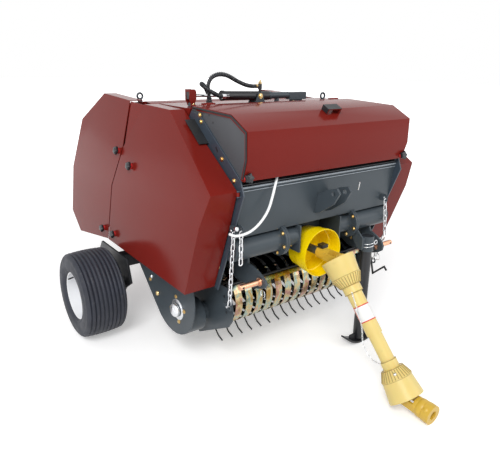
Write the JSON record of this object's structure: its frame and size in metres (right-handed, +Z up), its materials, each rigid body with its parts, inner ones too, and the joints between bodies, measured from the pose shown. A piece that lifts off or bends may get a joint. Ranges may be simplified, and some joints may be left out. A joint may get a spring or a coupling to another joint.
{
  "type": "mini round baler",
  "caption": "Small tractor-mounted round hay baler with tined pickup, opening tailgate, side covers, wheels, parking stand and drive shaft.",
  "frame": {"origin": "on the ground, under the middle of the whole machine", "axes": "+Z up, -Y forwards to the tractor, +X to the right when looking at the machine's front"},
  "size_m": [1.624, 1.9892, 1.2086],
  "materials": {
    "red_paint": "gloss maroon paint",
    "grey_paint": "semi-gloss dark grey paint",
    "black_paint": "black paint",
    "white_paint": "white paint",
    "gold_paint": "golden yellow paint",
    "tyre": "ribbed black rubber",
    "yellow_plastic": "gloss yellow plastic",
    "straw_plastic": "satin straw yellow plastic",
    "copper_plate": "copper plated steel",
    "zinc": "zinc plated steel",
    "yellow_zinc": "yellow passivated zinc on steel",
    "hose_rubber": "black hose in a spiral guard",
    "white_plastic": "white plastic tube",
    "chrome": "polished chrome"
  },
  "bodies": {
    "root": {"side_walls": "red_paint", "front_posts": "grey_paint", "front_panel": "grey_paint", "twine_box": "grey_paint", "front_roof": "red_paint", "front_rollers": "grey_paint", "gearbox": "grey_paint", "cross_tube": "grey_paint", "hitch_plates": "grey_paint", "hitch_pins": "copper_plate", "top_link_bracket": "grey_paint", "input_guard": "yellow_plastic", "input_yoke": "gold_paint", "axle_beam": "grey_paint", "stand_sleeve": "grey_paint", "pickup_sides": "grey_paint", "stripper_bands": "yellow_zinc", "chain_guard": "grey_paint", "cylinder_mount": "grey_paint", "front_lug": "grey_paint", "chain_hangers": "grey_paint", "lift_chains": "zinc", "barrel_hose": "hose_rubber", "rear_hose": "hose_rubber", "twine_tube": "white_plastic", "hooked_lever": "black_paint"},
    "tailgate": {"tailgate_walls": "red_paint", "tailgate_skin": "red_paint", "tailgate_rollers": "grey_paint", "rear_lug": "grey_paint"},
    "rear_cover_left": {"rear_cover_left": "red_paint"},
    "rear_cover_right": {"rear_cover_right": "red_paint"},
    "front_cover_left": {"front_cover_left": "red_paint"},
    "front_cover_right": {"front_cover_right": "red_paint"},
    "hood": {"hood_lid": "red_paint"},
    "latch": {"latch_lever": "red_paint"},
    "barrel": {"cylinder_barrel": "black_paint"},
    "rod": {"cylinder_rod": "chrome"},
    "stand": {"stand_leg": "black_paint"},
    "reel": {"reel": "black_paint"},
    "wheel_left": {"wheel_left_tyre": "tyre", "wheel_left_rim": "white_paint"},
    "wheel_right": {"wheel_right_tyre": "tyre", "wheel_right_rim": "white_paint"},
    "shaft_upper": {"shaft_upper": "straw_plastic", "upper_fork": "gold_paint"},
    "shaft_lower": {"shaft_lower": "straw_plastic", "lower_fork": "gold_paint"},
    "shaft_yoke": {"shaft_yoke": "gold_paint"}
  },
  "joints": [
    {"name": "wheel_left_spin", "type": "hinge", "parent": "root", "child": "wheel_left", "pos_m": [-0.714, 0.37858, 0.202], "axis": [1, 0, 0], "continuous": true},
    {"name": "wheel_right_spin", "type": "hinge", "parent": "root", "child": "wheel_right", "pos_m": [0.714, 0.37858, 0.202], "axis": [1, 0, 0], "continuous": true},
    {"name": "reel_spin", "type": "hinge", "parent": "root", "child": "reel", "pos_m": [0, -0.10842, 0.258], "axis": [1, 0, 0], "continuous": true},
    {"name": "tailgate_hinge", "type": "hinge", "parent": "root", "child": "tailgate", "pos_m": [0, 0.31658, 0.884], "axis": [1, 0, 0], "range_deg": [0, 32]},
    {"name": "latch_swing", "type": "hinge", "parent": "root", "child": "latch", "pos_m": [-0.385, -0.00342, 1.086], "axis": [0, 1, 0], "range_deg": [0, 39]},
    {"name": "barrel_tilt", "type": "hinge", "parent": "root", "child": "barrel", "pos_m": [-0.05, -0.00342, 1.111], "axis": [0, 1, 0], "range_deg": [-1.1, 0]},
    {"name": "rod_slide", "type": "slide", "parent": "barrel", "child": "rod", "axis": [0.9997, 0, -0.0239], "range_m": [0, 0.0213]},
    {"name": "hood_hinge", "type": "hinge", "parent": "root", "child": "hood", "pos_m": [0, -0.07942, 1.09], "axis": [-1, 0, 0], "range_deg": [0, 75]},
    {"name": "front_cover_left_hinge", "type": "hinge", "parent": "root", "child": "front_cover_left", "pos_m": [-0.449, -0.41842, 0.813], "axis": [0, 0, 1], "range_deg": [0, 70]},
    {"name": "front_cover_right_hinge", "type": "hinge", "parent": "root", "child": "front_cover_right", "pos_m": [0.449, -0.41842, 0.813], "axis": [0, 0, -1], "range_deg": [0, 70]},
    {"name": "rear_cover_left_hinge", "type": "hinge", "parent": "tailgate", "child": "rear_cover_left", "pos_m": [-0.449, 0.98858, 0.436], "axis": [0, 0, -1], "range_deg": [0, 70]},
    {"name": "rear_cover_right_hinge", "type": "hinge", "parent": "tailgate", "child": "rear_cover_right", "pos_m": [0.449, 0.98858, 0.436], "axis": [0, 0, 1], "range_deg": [0, 70]},
    {"name": "stand_slide", "type": "slide", "parent": "root", "child": "stand", "axis": [0, 0, 1], "range_m": [0, 0.2]},
    {"name": "shaft_swing", "type": "hinge", "parent": "root", "child": "shaft_upper", "pos_m": [0, -0.49642, 0.494], "axis": [-1, 0, 0], "range_deg": [0, 45]},
    {"name": "shaft_slide", "type": "slide", "parent": "shaft_upper", "child": "shaft_lower", "axis": [0.0426, -0.6453, -0.7628], "range_m": [-0.09, 0]},
    {"name": "yoke_swing", "type": "hinge", "parent": "shaft_lower", "child": "shaft_yoke", "pos_m": [0.025, -0.87542, 0.046], "axis": [1, 0, 0], "range_deg": [0, 50]}
  ],
  "couplings": [
    {"joint": "latch_swing", "follows": "rod_slide", "rad_per_m": 31.3},
    {"joint": "barrel_tilt", "follows": "rod_slide", "rad_per_m": -0.82}
  ]
}
